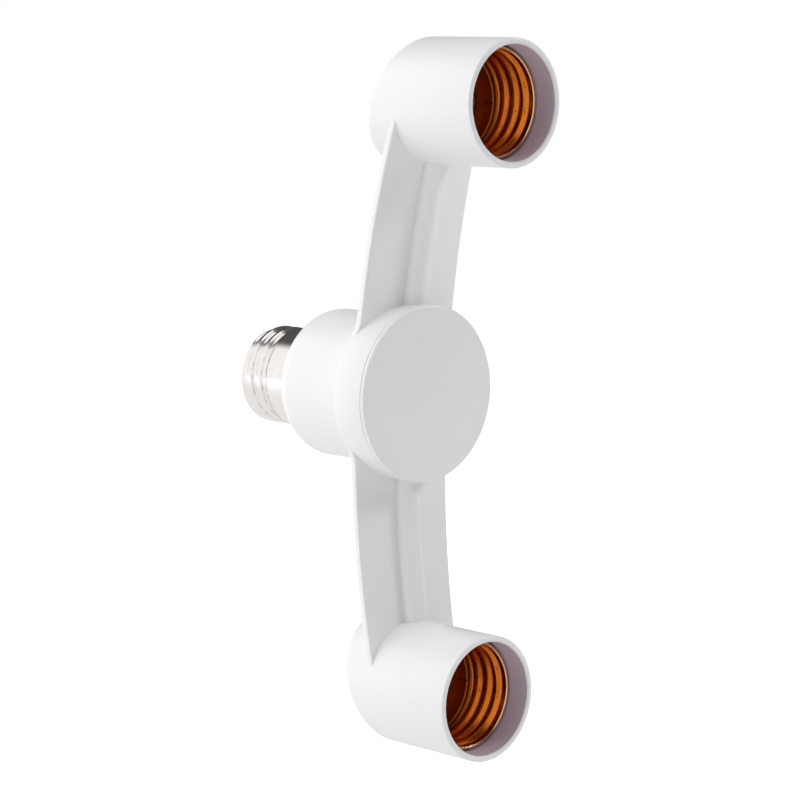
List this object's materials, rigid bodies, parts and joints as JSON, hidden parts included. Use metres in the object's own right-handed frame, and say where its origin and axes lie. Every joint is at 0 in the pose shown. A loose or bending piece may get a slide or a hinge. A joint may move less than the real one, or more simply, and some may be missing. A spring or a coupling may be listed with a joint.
{
  "type": "lamp socket adapter",
  "caption": "Adapter that screws into a lamp holder and feeds two lamps: a round hub with a screw cap behind, and a bowed back plate with a forward-facing threaded socket cup at each end.",
  "frame": {"origin": "on the hub's axis, where the screw shell leaves the plastic", "axes": "+Y along the screw cap into the lamp holder, so the lamps leave towards -Y; +Z along one arm; +X across"},
  "size_m": [0.0462, 0.0923, 0.1836],
  "materials": {
    "white_plastic": "satin",
    "nickel_plate": "bright rolled sheet",
    "copper_plate": "bright rolled sheet",
    "brass": "bright",
    "steel": "zinc plated",
    "solder": "dull",
    "black_plastic": "satin",
    "base_plastic": "satin",
    "splice_sleeve": "satin",
    "brown_wire": "satin",
    "blue_wire": "satin"
  },
  "bodies": {
    "adapter": {"housing": "white_plastic", "hub_cap": "white_plastic", "screw_shell": "nickel_plate", "base_insulator": "black_plastic", "tip_contact": "brass", "live_lead": "brown_wire", "neutral_lead": "blue_wire", "live_splice": "splice_sleeve", "neutral_splice": "splice_sleeve", "neutral_solder": "solder", "socket_shell_top": "copper_plate", "socket_shell_bottom": "copper_plate", "socket_base_top": "base_plastic", "socket_base_bottom": "base_plastic", "base_screws_top": "steel", "base_screws_bottom": "steel", "shell_rivets_top": "brass", "shell_rivets_bottom": "brass", "contact_rivet_top": "brass", "contact_rivet_bottom": "brass", "contact_leaf_top": "brass", "contact_leaf_bottom": "brass", "live_wire_top": "brown_wire", "live_wire_bottom": "brown_wire", "neutral_wire_top": "blue_wire", "neutral_wire_bottom": "blue_wire", "duct_cover_top": "white_plastic", "duct_cover_bottom": "white_plastic"},
    "button_top": {"contact_button_top": "brass"},
    "button_bottom": {"contact_button_bottom": "brass"}
  },
  "joints": [
    {"name": "contact_press_top", "type": "slide", "parent": "adapter", "child": "button_top", "axis": [0, 1, 0], "range_m": [0, 0.0015], "stiffness_N_per_m": 1500, "deforming": ["contact_leaf_top"]},
    {"name": "contact_press_bottom", "type": "slide", "parent": "adapter", "child": "button_bottom", "axis": [0, 1, 0], "range_m": [0, 0.0015], "stiffness_N_per_m": 1500, "deforming": ["contact_leaf_bottom"]}
  ]
}
